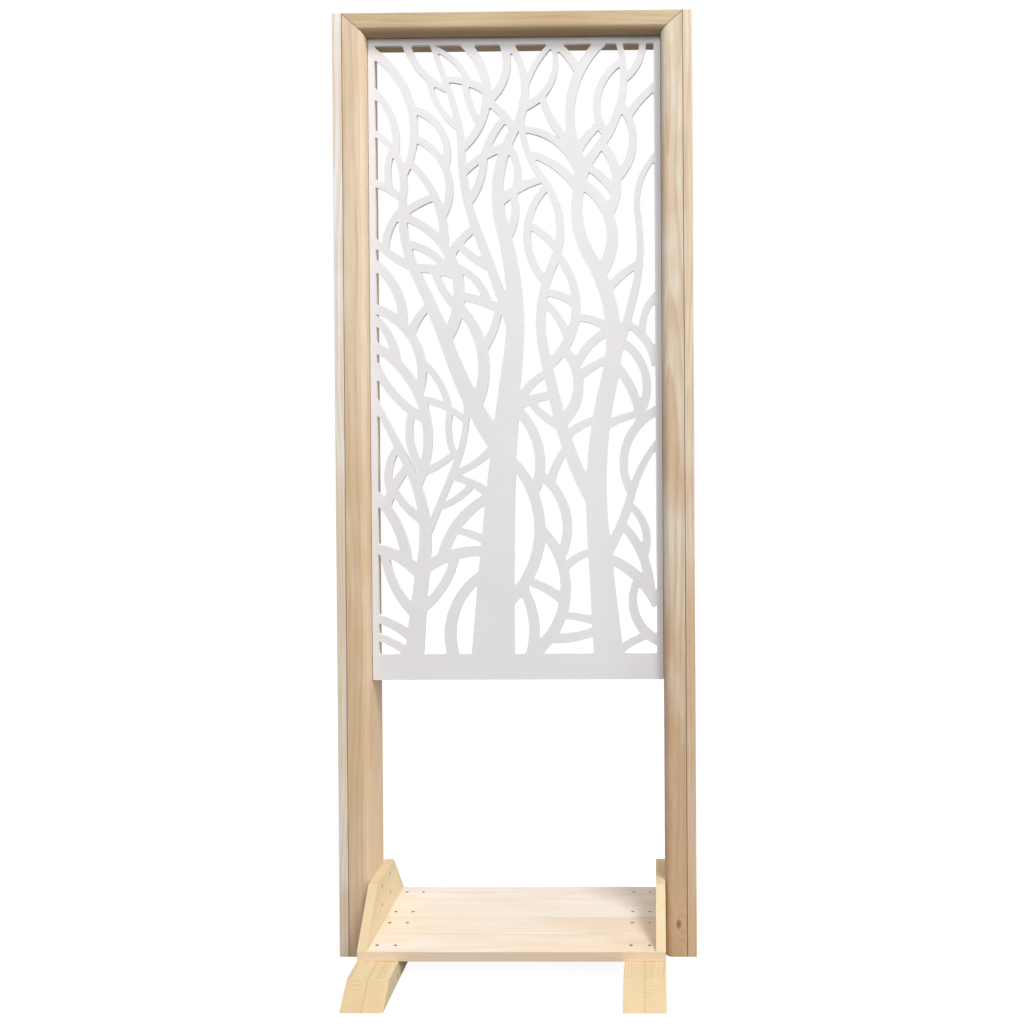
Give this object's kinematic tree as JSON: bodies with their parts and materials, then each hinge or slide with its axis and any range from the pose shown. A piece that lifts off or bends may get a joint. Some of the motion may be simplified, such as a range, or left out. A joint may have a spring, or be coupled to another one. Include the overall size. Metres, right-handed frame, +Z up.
{
  "type": "modular room divider",
  "caption": "Free-standing room divider: mitred pine frame with a white branch cut-out panel, standing on a shelf base with gussets and two raked feet.",
  "frame": {"origin": "on the ground, midway between the two posts and midway between the front and rear ends of the feet", "axes": "+Z up, +X to the right seen from the front, front faces -Y"},
  "size_m": [0.722, 0.49, 1.9],
  "materials": {
    "post_timber": "planed, unfinished",
    "board_timber": "planed, unfinished",
    "bead_timber": "planed, unfinished",
    "base_timber": "planed, unfinished",
    "foot_timber": "planed, unfinished",
    "panel_sheet": "matt white",
    "zinc_steel": "zinc plated"
  },
  "bodies": {
    "root": {"post_right": "post_timber", "post_left": "post_timber", "head_rail": "post_timber", "outer_board_right": "board_timber", "outer_board_left": "board_timber", "screen_panel": "panel_sheet", "bead_right": "bead_timber", "bead_left": "bead_timber", "bead_top": "bead_timber", "gusset_right": "base_timber", "gusset_left": "base_timber", "shelf_board_rear": "base_timber", "shelf_board_front": "base_timber", "foot_right_inner": "foot_timber", "foot_left_inner": "foot_timber", "foot_right_outer": "foot_timber", "foot_left_outer": "foot_timber", "shelf_screws": "zinc_steel", "outer_board_screws_right": "zinc_steel", "outer_board_screws_left": "zinc_steel", "gusset_screws_right": "zinc_steel", "gusset_screws_left": "zinc_steel", "foot_screws_right": "zinc_steel", "foot_screws_left": "zinc_steel", "mitre_screws": "zinc_steel", "panel_screws": "zinc_steel", "bead_pins": "zinc_steel"}
  },
  "joints": []
}
